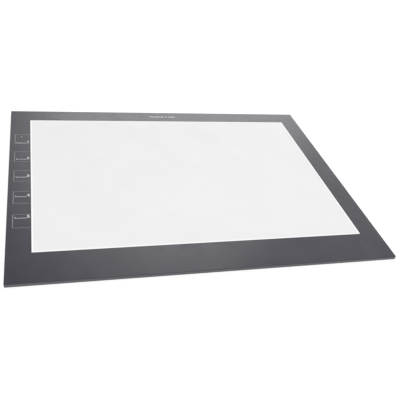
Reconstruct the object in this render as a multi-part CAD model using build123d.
from build123d import *
import os

# A3 light box for tracing: a dark flat frame around an opal drawing panel, lit from two
# rows of LEDs that shine into the front and back edges of a clear light guide.
# Millimetres. +X right, +Y back, +Z up. The origin is on the table, under the middle.

# Drawing window, the size of an A3 sheet
window_width = 420.0
window_depth = 297.0

# Dark border around the window. The hand rests on the wide one in front.
side_border = 28.0
back_border = 28.5
front_border = 46.5

# Layers, from the table up
foot_height = 0.8
cover_thickness = 1.0
reflector_thickness = 0.2
guide_thickness = 2.0
diffuser_thickness = 0.25
film_play = 0.05
face_thickness = 1.5

# Front frame
wall = 1.6
corner_radius = 1.5
top_chamfer = 0.3
bottom_chamfer = 0.7
rib_thickness = 1.5
web_thickness = 1.2
rib_clearance = 0.1

# Drawing panel: its flange is glued under the lip of the window
panel_flange_width = 3.0
panel_flange_thickness = 0.7
panel_tape_thickness = 0.1
window_clearance = 0.15
flange_clearance = 0.2

# Light guide, and what stands along its edges
guide_overlap = 4.0
side_tape_thickness = 0.1
side_clearance = 0.2
led_gap = 0.1
led_length = 4.0
led_height = 1.4
led_depth = 0.6
led_pitch = 7.0
led_lens_rim = 0.25
led_lens_depth = 0.15
strip_thickness = 0.8
strip_clearance = 0.1
strip_end_margin = 4.0
strip_tape_thickness = 0.1
cable_gap_width = 12.0

# Fastenings of the rear cover
cover_clearance = 0.2
cover_edge_chamfer = 0.3
screw_shank_diameter = 1.7
screw_head_diameter = 3.8
screw_head_height = 0.5
screw_length = 2.5
screw_clearance = 0.3
pilot_clearance = 0.1
pilot_extra_depth = 0.3
boss_diameter = 4.6
boss_from_wall = 3.2
screws_along_front = 5
screws_along_side = 4
cross_slot_length = 2.0
cross_slot_width = 0.45
cross_slot_depth = 0.3

# Rubber feet, set in shallow recesses
foot_diameter = 12.0
foot_seat_depth = 0.4
foot_seat_clearance = 0.1
foot_edge_radius = 0.3
foot_inset = 22.0
feet_along_front = 3
label_width = 60.0
label_depth = 30.0
label_recess = 0.2

# Touch keys in the left border
key_count = 5
key_pitch = 46.6
pad_margin = 0.8
pad_length = 16.0
pad_corner_radius = 1.5
copper_thickness = 0.1
key_board_end = 7.0
indicator_above_key = 6.4
indicator_from_edge = 15.9
lens_diameter = 1.2
lens_clearance = 0.05
indicator_hole_diameter = 2.0
indicator_body_diameter = 1.4
indicator_body_height = 0.7
indicator_flange = (2.6, 1.4, 0.3)

# Circuit boards, both glued and staked under the face
board_thickness = 0.8
board_clearance = 0.5
board_to_rib = 1.5
power_board_length = 40.0
power_board_back_gap = 0.6
power_board_to_rib = 2.4
stake_diameter = 1.5
stake_head_diameter = 2.4
stake_head_height = 0.4
stake_clearance = 0.15
stake_inset = 2.2

# Power socket, a micro USB receptacle sunk into the board
socket_width = 7.5
socket_height = 2.45
socket_length = 5.0
socket_wall = 0.25
socket_corner = 0.9
socket_setback = 0.4
socket_board_clearance = 0.15
socket_wall_clearance = 0.3
socket_play = 0.1
socket_tab = (1.2, 2.0, 0.2)
tongue_base_length = 1.4
tongue_length = 3.2
tongue_width = 3.7
tongue_thickness = 0.6
tongue_clearance = 0.05
contact_count = 5
contact_pitch = 0.65
contact_width = 0.3
contact_thickness = 0.1

# Flat cables and their connectors, under the boards
cable_thickness = 0.2
cable_below_board = 0.5
link_cable_width = 3.0
strip_cable_width = 2.0
connector_depth = 4.0
connector_height = 1.1
connector_side = 0.6
connector_edge = 1.0
connector_slot_clearance = 0.05
cable_insertion = 2.5
cable_rib_clearance = 0.5
component_gap = 0.3

# Components, as length along Y, width along X and height below the board
controller_size = (5.0, 4.4, 1.0)
driver_size = (2.9, 1.6, 1.0)
lead_size = (0.3, 1.0, 0.15)
controller_leads = 7
driver_leads = 3
lead_pitch_controller = 0.65
lead_pitch_driver = 0.95
inductor_side = 4.0
inductor_height = 1.2
inductor_core_diameter = 3.0
diode_size = (2.6, 1.6, 1.0)
resistor_size = (0.8, 1.6, 0.45)
capacitor_size = (1.25, 2.0, 0.85)

# Overall outline
body_width = window_width + 2 * side_border
body_depth = window_depth + front_border + back_border
half_width = body_width / 2
half_depth = body_depth / 2
window_middle = (front_border - back_border) / 2

# Heights of the layers
cover_bottom = foot_height
cover_top = cover_bottom + cover_thickness
reflector_top = cover_top + reflector_thickness
guide_top = reflector_top + guide_thickness
diffuser_top = guide_top + diffuser_thickness
face_bottom = diffuser_top + film_play
face_top = face_bottom + face_thickness
flange_top = face_bottom + panel_flange_thickness
lip_bottom = flange_top + panel_tape_thickness
guide_middle = (reflector_top + guide_top) / 2
rib_bottom = cover_top + rib_clearance

# Light guide and the ribs that hold it
guide_width = window_width + 2 * guide_overlap
guide_depth = window_depth + 2 * guide_overlap
guide_front = window_middle - guide_depth / 2
guide_back = window_middle + guide_depth / 2
side_rib_inside = guide_width / 2 + side_tape_thickness + side_clearance
side_rib_outside = side_rib_inside + rib_thickness
led_stack = led_gap + led_depth + strip_thickness + strip_tape_thickness
strip_length = guide_width - 2 * strip_end_margin
pocket_half_width = half_width - wall
pocket_half_depth = half_depth - wall

# Boards in the left border
board_bottom = face_bottom - copper_thickness - board_thickness
board_top = board_bottom + board_thickness
board_left = -pocket_half_width + boss_from_wall + boss_diameter / 2 + board_clearance
key_board_right = -side_rib_outside - board_to_rib
key_board_middle = (board_left + key_board_right) / 2
pad_width = key_board_right - board_left - 2 * pad_margin
key_board_half = (key_count - 1) / 2 * key_pitch + pad_length / 2 + key_board_end
power_board_right = board_left + power_board_length
power_board_front = guide_back + led_stack + rib_thickness + power_board_to_rib
power_board_back = pocket_half_depth - power_board_back_gap
socket_middle = (board_left + power_board_right) / 2
socket_mouth = half_depth - socket_setback
socket_rear = socket_mouth - socket_length
socket_middle_z = (cover_top + face_bottom) / 2
socket_low = socket_middle_z - socket_height / 2
socket_high = socket_middle_z + socket_height / 2

# Flat cables
cable_top = board_bottom - cable_below_board
cable_bottom = cable_top - cable_thickness
link_cable_x = board_left + connector_side + link_cable_width / 2
front_cable_x = key_board_right - cable_rib_clearance - strip_cable_width / 2
back_cable_x = -strip_length / 2 + connector_side + strip_cable_width / 2
connector_front = power_board_front + connector_edge


def slab(x_low, x_high, y_low, y_high, z_low, z_high):
    size = (x_high - x_low, y_high - y_low, z_high - z_low)
    middle = ((x_low + x_high) / 2, (y_low + y_high) / 2, (z_low + z_high) / 2)
    return Pos(*middle) * Box(*size)


def plate(width, depth, y_middle, z_low, z_high, radius=0.0):
    outline = RectangleRounded(width, depth, radius) if radius > 0 else Rectangle(width, depth)
    return Pos(0, y_middle, z_low) * extrude(outline, z_high - z_low)


def disc(x, y, z_low, z_high, diameter):
    return Pos(x, y, (z_low + z_high) / 2) * Cylinder(diameter / 2, z_high - z_low)


def spread(low, high, count):
    step = (high - low) / (count - 1)
    return [low + step * index for index in range(count - 1)] + [high]


def midpoints(values):
    return [(first + second) / 2 for first, second in zip(values, values[1:])]


# Where things repeat
screw_x = pocket_half_width - boss_from_wall
screw_y = pocket_half_depth - boss_from_wall
front_screws = spread(-screw_x, screw_x, screws_along_front)
side_screws = spread(-screw_y, screw_y, screws_along_side)
screw_places = [(x, y) for x in front_screws for y in (-screw_y, screw_y)]
screw_places += [(x, y) for x in (-screw_x, screw_x) for y in side_screws[1:-1]]
foot_columns = spread(foot_inset - half_width, half_width - foot_inset, feet_along_front)
foot_places = [(x, y) for x in foot_columns for y in (foot_inset - half_depth, half_depth - foot_inset)]
key_span = (key_count - 1) / 2 * key_pitch
key_rows = spread(window_middle - key_span, window_middle + key_span, key_count)
indicator_x = -half_width + indicator_from_edge
indicator_y = key_rows[-1] + indicator_above_key
key_board_stakes = [(board_left + stake_inset, y) for y in midpoints(key_rows)]
power_board_middle = (power_board_front + power_board_back) / 2
power_board_stakes = [(board_left + stake_inset, power_board_middle),
                      (power_board_right - stake_inset, power_board_middle)]


def socket_relief(z_low, z_high):
    # A shallow pocket that leaves play above or below the power socket
    reach = socket_width / 2 + socket_wall_clearance
    return slab(socket_middle - reach, socket_middle + reach, socket_rear - socket_play, socket_mouth,
                z_low, z_high)


def guide_ribs():
    # Two ribs beside the light guide, and two behind the LED strips with a gap for the cables
    low = guide_front - led_stack
    high = guide_back + led_stack
    cable_gap = -side_rib_outside + cable_gap_width
    ribs = [slab(x, x + rib_thickness, guide_front, guide_back, rib_bottom, face_bottom)
            for x in (-side_rib_outside, side_rib_inside)]
    ribs += [slab(cable_gap, side_rib_outside, y, y + rib_thickness, rib_bottom, face_bottom)
             for y in (low - rib_thickness, high)]
    return ribs


def stiffening_webs():
    # Webs across the hollow border, between the screws, from the outer wall to the guide's ribs
    front_end = guide_front - led_stack - rib_thickness
    back_end = guide_back + led_stack + rib_thickness
    half = web_thickness / 2
    webs = []
    for x in midpoints(front_screws):
        webs.append(slab(x - half, x + half, -pocket_half_depth, front_end, rib_bottom, face_bottom))
        if x - half > power_board_right + board_clearance:
            webs.append(slab(x - half, x + half, back_end, pocket_half_depth, rib_bottom, face_bottom))
    for y in midpoints(side_screws):
        webs.append(slab(side_rib_outside, pocket_half_width, y - half, y + half, rib_bottom, face_bottom))
    return webs


def screw_boss(x, y):
    # A boss, tied to each outer wall that it stands beside
    boss = disc(x, y, cover_top, face_bottom, boss_diameter)
    half = web_thickness / 2
    if abs(x) == screw_x:
        sides = sorted((x, x + boss_from_wall * (1 if x > 0 else -1)))
        boss += slab(*sides, y - half, y + half, cover_top, face_bottom)
    if abs(y) == screw_y:
        ends = sorted((y, y + boss_from_wall * (1 if y > 0 else -1)))
        boss += slab(x - half, x + half, *ends, cover_top, face_bottom)
    return boss


def board_stake(x, y):
    # A post through the board, with its end melted over into a head
    post = disc(x, y, board_bottom, face_bottom, stake_diameter)
    return post + disc(x, y, board_bottom - stake_head_height, board_bottom, stake_head_diameter)


def front_frame():
    frame = plate(body_width, body_depth, 0, cover_bottom, face_top, corner_radius)
    frame = chamfer(frame.faces().sort_by(Axis.Z)[-1].edges(), top_chamfer)
    frame = chamfer(frame.faces().sort_by(Axis.Z)[0].edges(), bottom_chamfer)
    frame -= plate(2 * pocket_half_width, 2 * pocket_half_depth, 0, cover_bottom, face_bottom)
    opening = 2 * window_clearance
    frame -= plate(window_width + opening, window_depth + opening, window_middle, face_bottom, face_top)
    flange = 2 * (panel_flange_width + flange_clearance)
    frame -= plate(window_width + flange, window_depth + flange, window_middle, face_bottom, lip_bottom)
    frame += guide_ribs() + stiffening_webs()
    frame += [screw_boss(x, y) for x, y in screw_places]
    frame += [board_stake(x, y) for x, y in key_board_stakes + power_board_stakes]
    pilot_top = cover_bottom + screw_head_height + screw_length + pilot_extra_depth
    pilot = screw_shank_diameter + pilot_clearance
    frame -= [disc(x, y, cover_top, pilot_top, pilot) for x, y in screw_places]
    frame -= disc(indicator_x, indicator_y, face_bottom, face_top, lens_diameter + 2 * lens_clearance)
    mouth = socket_width / 2 + socket_wall_clearance
    frame -= slab(socket_middle - mouth, socket_middle + mouth, pocket_half_depth, half_depth,
                  cover_bottom, face_bottom)
    return frame - socket_relief(face_bottom, socket_high + socket_play)


def rear_cover():
    width = 2 * (pocket_half_width - cover_clearance)
    depth = 2 * (pocket_half_depth - cover_clearance)
    cover = plate(width, depth, 0, cover_bottom, cover_top)
    cover = chamfer(cover.faces().sort_by(Axis.Z)[0].edges(), cover_edge_chamfer)
    seat = foot_diameter + 2 * foot_seat_clearance
    cover -= [disc(x, y, cover_bottom, cover_bottom + foot_seat_depth, seat) for x, y in foot_places]
    hole = screw_shank_diameter + screw_clearance
    head = screw_head_diameter + screw_clearance
    cover -= [disc(x, y, cover_bottom, cover_top, hole) for x, y in screw_places]
    cover -= [disc(x, y, cover_bottom, cover_bottom + screw_head_height, head) for x, y in screw_places]
    cover -= plate(label_width, label_depth, window_middle, cover_bottom, cover_bottom + label_recess,
                   corner_radius)
    return cover - socket_relief(socket_low - socket_play, cover_top)


def rear_cover_screws():
    screws = []
    for x, y in screw_places:
        head_top = cover_bottom + screw_head_height
        screw = disc(x, y, cover_bottom, head_top, screw_head_diameter)
        screw += disc(x, y, head_top, head_top + screw_length, screw_shank_diameter)
        slot_top = cover_bottom + cross_slot_depth
        for length, width in ((cross_slot_length, cross_slot_width), (cross_slot_width, cross_slot_length)):
            screw -= slab(x - length / 2, x + length / 2, y - width / 2, y + width / 2,
                          cover_bottom, slot_top)
        screws.append(screw)
    return Compound(children=screws)


def rubber_feet():
    feet = []
    for x, y in foot_places:
        foot = disc(x, y, 0, foot_height + foot_seat_depth, foot_diameter)
        feet.append(fillet(foot.faces().sort_by(Axis.Z)[0].edges(), foot_edge_radius))
    return Compound(children=feet)


def drawing_panel():
    flange = 2 * panel_flange_width
    panel = plate(window_width + flange, window_depth + flange, window_middle, face_bottom, flange_top)
    return panel + plate(window_width, window_depth, window_middle, flange_top, face_top)


def panel_tape():
    # The glue line between the panel's flange and the lip of the window
    flange = 2 * panel_flange_width
    hole = 2 * window_clearance
    tape = plate(window_width + flange, window_depth + flange, window_middle, flange_top, lip_bottom)
    return tape - plate(window_width + hole, window_depth + hole, window_middle, flange_top, lip_bottom)


def guide_layer(z_low, z_high):
    return plate(guide_width, guide_depth, window_middle, z_low, z_high)


def side_reflector_tapes():
    edge = guide_width / 2
    tapes = [slab(x, x + side_tape_thickness, guide_front, guide_back, reflector_top, guide_top)
             for x in (-edge - side_tape_thickness, edge)]
    return Compound(children=tapes)


def outward_slab(side, near, far, half_length, z_low, z_high, x_middle=0.0):
    # A slab along X, between two distances out from the guide's front or back edge.
    # side is -1 in front of the guide and +1 behind it.
    edge = guide_back if side > 0 else guide_front
    y_low, y_high = sorted((edge + side * near, edge + side * far))
    return slab(x_middle - half_length, x_middle + half_length, y_low, y_high, z_low, z_high)


def leds(side):
    count = int((strip_length - led_length) / led_pitch) + 1
    row = (count - 1) / 2 * led_pitch
    low = guide_middle - led_height / 2
    high = guide_middle + led_height / 2
    packages = []
    for x in spread(-row, row, count):
        package = outward_slab(side, led_gap, led_gap + led_depth, led_length / 2, low, high, x)
        package -= outward_slab(side, led_gap, led_gap + led_lens_depth, led_length / 2 - led_lens_rim,
                                low + led_lens_rim, high - led_lens_rim, x)
        packages.append(package)
    return Compound(children=packages)


def led_strip(side):
    near = led_gap + led_depth
    return outward_slab(side, near, near + strip_thickness, strip_length / 2,
                        cover_top, face_bottom - strip_clearance)


def led_strip_tapes():
    # Heat-conducting tape that holds each strip against its rib
    near = led_gap + led_depth + strip_thickness
    cable_gap = -side_rib_outside + cable_gap_width
    half = (strip_length / 2 - cable_gap) / 2
    tapes = [outward_slab(side, near, near + strip_tape_thickness, half, rib_bottom,
                          face_bottom - strip_clearance, cable_gap + half) for side in (-1, 1)]
    return Compound(children=tapes)


def stake_holes(places):
    hole = stake_diameter + 2 * stake_clearance
    return [disc(x, y, board_bottom, board_top, hole) for x, y in places]


def touch_board():
    board = slab(board_left, key_board_right, window_middle - key_board_half,
                 window_middle + key_board_half, board_bottom, board_top)
    board -= stake_holes(key_board_stakes)
    return board - disc(indicator_x, indicator_y, board_bottom, board_top, indicator_hole_diameter)


def touch_electrodes():
    pads = []
    for y in key_rows:
        outline = RectangleRounded(pad_width, pad_length, pad_corner_radius)
        pads.append(Pos(key_board_middle, y, board_top) * extrude(outline, copper_thickness))
    pads[-1] -= disc(indicator_x, indicator_y, board_top, face_bottom, indicator_hole_diameter)
    return Compound(children=pads)


def indicator_led():
    # Mounted under the board, and shining up through a hole in it
    width, depth, height = indicator_flange
    led = slab(indicator_x - width / 2, indicator_x + width / 2, indicator_y - depth / 2,
               indicator_y + depth / 2, board_bottom - height, board_bottom)
    return led + disc(indicator_x, indicator_y, board_bottom, board_bottom + indicator_body_height,
                      indicator_body_diameter)


def indicator_lens():
    return disc(indicator_x, indicator_y, face_bottom, face_top, lens_diameter)


def leaded_chip(x, y, size, leads_per_side, lead_pitch):
    # A chip on the underside of a board, with a row of bent leads on its left and right
    length, width, height = size
    lead_width, lead_reach, lead_thickness = lead_size
    low = board_bottom - height
    chip = slab(x - width / 2, x + width / 2, y - length / 2, y + length / 2, low,
                board_bottom - lead_thickness / 2)
    row = (leads_per_side - 1) / 2 * lead_pitch
    knee = width / 2 + lead_reach / 2
    shoulder = low + height / 2
    for lead_y in spread(y - row, y + row, leads_per_side):
        for side in (-1, 1):
            inner, bend, outer = (x + side * reach for reach in
                                  (width / 2, knee, width / 2 + lead_reach))
            y_low, y_high = lead_y - lead_width / 2, lead_y + lead_width / 2
            chip += slab(*sorted((inner, bend)), y_low, y_high, shoulder, shoulder + lead_thickness)
            upright = sorted((bend, bend - side * lead_thickness))
            chip += slab(*upright, y_low, y_high, shoulder, board_bottom)
            chip += slab(*sorted((bend, outer)), y_low, y_high, board_bottom - lead_thickness, board_bottom)
    return chip


controller_x = board_left + component_gap + lead_size[1] + controller_size[1] / 2
controller_y = key_rows[key_count // 2]


def touch_controller():
    return leaded_chip(controller_x, controller_y, controller_size, controller_leads, lead_pitch_controller)


def two_ended_part(x, y, size):
    # A small component on the underside of a board, waisted between its two metal ends
    length, width, height = size
    end = width / 4
    waist = 0.05
    low = board_bottom - height
    part = slab(x - width / 2, x + width / 2, y - length / 2 + waist, y + length / 2 - waist,
                low + waist, board_bottom)
    for side in (-1, 1):
        ends = sorted((x + side * width / 2, x + side * (width / 2 - end)))
        part += slab(*ends, y - length / 2, y + length / 2, low, board_bottom)
    return part


def touch_board_passives():
    # A resistor and a capacitor beside each stake, and two capacitors beside the controller
    column = board_left + stake_inset + stake_head_diameter / 2 + component_gap + capacitor_size[1] / 2
    parts = []
    for y in midpoints(key_rows):
        parts.append(two_ended_part(column, y + capacitor_size[0], resistor_size))
        parts.append(two_ended_part(column, y - capacitor_size[0], capacitor_size))
    reach = controller_size[0] / 2 + 2 * capacitor_size[0]
    parts += [two_ended_part(controller_x, controller_y + side * reach, capacitor_size)
              for side in (-1, 1)]
    return Compound(children=parts)


def power_board():
    board = slab(board_left, power_board_right, power_board_front, power_board_back,
                 board_bottom, board_top)
    notch = socket_width / 2 + socket_board_clearance
    board -= slab(socket_middle - notch, socket_middle + notch, socket_rear - socket_board_clearance,
                  power_board_back, board_bottom, board_top)
    return board - stake_holes(power_board_stakes)


def socket_outline(inset):
    # The mouth of a micro USB socket, with its two lower corners cut off
    half = socket_width / 2 - inset
    top = socket_height / 2 - inset
    cut = socket_corner - inset / 2
    return Polyline((-half, top), (half, top), (half, cut - top), (half - cut, -top),
                    (cut - half, -top), (-half, cut - top), close=True)


def socket_prism(inset, y_low, y_high):
    section = Plane(origin=(socket_middle, y_high, socket_middle_z), x_dir=(1, 0, 0), z_dir=(0, -1, 0))
    return extrude(section * make_face(socket_outline(inset)), y_high - y_low)


def usb_shell():
    shell = socket_prism(0, socket_rear, socket_mouth)
    shell -= socket_prism(socket_wall, socket_rear, socket_mouth)
    reach, length, thickness = socket_tab
    tab_low = socket_rear + socket_wall
    for side in (-1, 1):
        edge = socket_middle + side * socket_width / 2
        sides = sorted((edge - side * socket_wall, edge + side * reach))
        shell += slab(*sides, tab_low, tab_low + length, board_bottom - thickness, board_bottom)
    return shell


def tongue_z():
    upper = socket_high - socket_wall - tongue_thickness
    return upper - tongue_thickness / 2, upper + tongue_thickness / 2


def usb_tongue():
    tongue = socket_prism(socket_wall + tongue_clearance, socket_rear, socket_rear + tongue_base_length)
    low, high = tongue_z()
    front = socket_rear + tongue_base_length
    return tongue + slab(socket_middle - tongue_width / 2, socket_middle + tongue_width / 2,
                         front, front + tongue_length, low, high)


def usb_contacts():
    low = tongue_z()[0]
    row = (contact_count - 1) / 2 * contact_pitch
    front = socket_rear + tongue_base_length
    tip = front + tongue_length - contact_width
    contacts = [slab(x - contact_width / 2, x + contact_width / 2, front, tip,
                     low - contact_thickness, low)
                for x in spread(socket_middle - row, socket_middle + row, contact_count)]
    return Compound(children=contacts)


# Places of the driver's parts on the power board, in a row between the socket and the connectors
driver_row = (connector_front + connector_depth + socket_rear) / 2
driver_x = socket_middle
inductor_x = driver_x + driver_size[1] / 2 + lead_size[1] + inductor_side
diode_x = inductor_x + inductor_side


def driver_inductor():
    low = board_bottom - inductor_height
    half = inductor_side / 2
    winding = slab(inductor_x - half, inductor_x + half, driver_row - half, driver_row + half,
                   low + board_clearance / 2, board_bottom)
    return winding + disc(inductor_x, driver_row, low, board_bottom, inductor_core_diameter)


def power_board_passives():
    step = 2 * capacitor_size[1]
    row = driver_row
    left = [driver_x - step * (index + 1) for index in range(3)]
    parts = [two_ended_part(x, row + side * capacitor_size[0], capacitor_size)
             for x in left for side in (-1, 1)]
    parts.append(two_ended_part(diode_x + step, row, resistor_size))
    return Compound(children=parts)


def connector(x, y_low, cable_width, slot_side):
    # A flat-cable connector: the slot opens towards the front (-1) or the back (+1)
    half = cable_width / 2 + connector_side
    y_high = y_low + connector_depth
    body = slab(x - half, x + half, y_low, y_high, board_bottom - connector_height, board_bottom)
    slot_half = cable_width / 2 + connector_slot_clearance
    reach = cable_insertion + connector_slot_clearance
    slot = (y_low, y_low + reach) if slot_side < 0 else (y_high - reach, y_high)
    return body - slab(x - slot_half, x + slot_half, *slot, cable_bottom - connector_slot_clearance,
                       cable_top + connector_slot_clearance)


link_connector_low = window_middle + key_board_half - connector_edge - connector_depth


def cable_connectors():
    parts = [connector(link_cable_x, connector_front, link_cable_width, -1),
             connector(front_cable_x, connector_front, strip_cable_width, -1),
             connector(back_cable_x, connector_front, strip_cable_width, -1),
             connector(link_cable_x, link_connector_low, link_cable_width, 1)]
    return Compound(children=parts)


def flat_cable(x, width, y_low, y_high):
    return slab(x - width / 2, x + width / 2, y_low, y_high, cable_bottom, cable_top)


def board_link_cable():
    return flat_cable(link_cable_x, link_cable_width,
                      link_connector_low + connector_depth - cable_insertion,
                      connector_front + cable_insertion)


def front_strip_cable():
    # Along the left border under the touch board, then in to the end of the front LED strip
    strip_face = guide_front - led_gap - led_depth - strip_thickness
    cable = flat_cable(front_cable_x, strip_cable_width, strip_face - strip_cable_width,
                       connector_front + cable_insertion)
    return cable + slab(front_cable_x, back_cable_x + strip_cable_width / 2,
                        strip_face - strip_cable_width, strip_face, cable_bottom, cable_top)


def back_strip_cable():
    return flat_cable(back_cable_x, strip_cable_width,
                      guide_back + led_gap + led_depth + strip_thickness,
                      connector_front + cable_insertion)


pieces = {
    "front_frame": front_frame(),
    "rear_cover": rear_cover(),
    "rear_cover_screws": rear_cover_screws(),
    "rubber_feet": rubber_feet(),
    "drawing_panel": drawing_panel(),
    "panel_tape": panel_tape(),
    "diffuser_film": guide_layer(guide_top, diffuser_top),
    "light_guide_plate": guide_layer(reflector_top, guide_top),
    "reflector_film": guide_layer(cover_top, reflector_top),
    "side_reflector_tapes": side_reflector_tapes(),
    "leds_front": leds(-1),
    "leds_back": leds(1),
    "led_strip_front": led_strip(-1),
    "led_strip_back": led_strip(1),
    "led_strip_tapes": led_strip_tapes(),
    "touch_board": touch_board(),
    "touch_electrodes": touch_electrodes(),
    "touch_controller": touch_controller(),
    "touch_board_passives": touch_board_passives(),
    "indicator_led": indicator_led(),
    "indicator_lens": indicator_lens(),
    "power_board": power_board(),
    "usb_shell": usb_shell(),
    "usb_tongue": usb_tongue(),
    "usb_contacts": usb_contacts(),
    "driver_chip": leaded_chip(driver_x, driver_row, driver_size, driver_leads, lead_pitch_driver),
    "driver_inductor": driver_inductor(),
    "driver_diode": two_ended_part(diode_x, driver_row, diode_size),
    "power_board_passives": power_board_passives(),
    "cable_connectors": cable_connectors(),
    "board_link_cable": board_link_cable(),
    "front_strip_cable": front_strip_cable(),
    "back_strip_cable": back_strip_cable(),
}

os.makedirs("parts", exist_ok=True)
for name, shape in pieces.items():
    export_step(shape, f"parts/{name}.step")
print("body", body_width, "x", body_depth, "x", face_top, "mm,", len(pieces), "pieces")
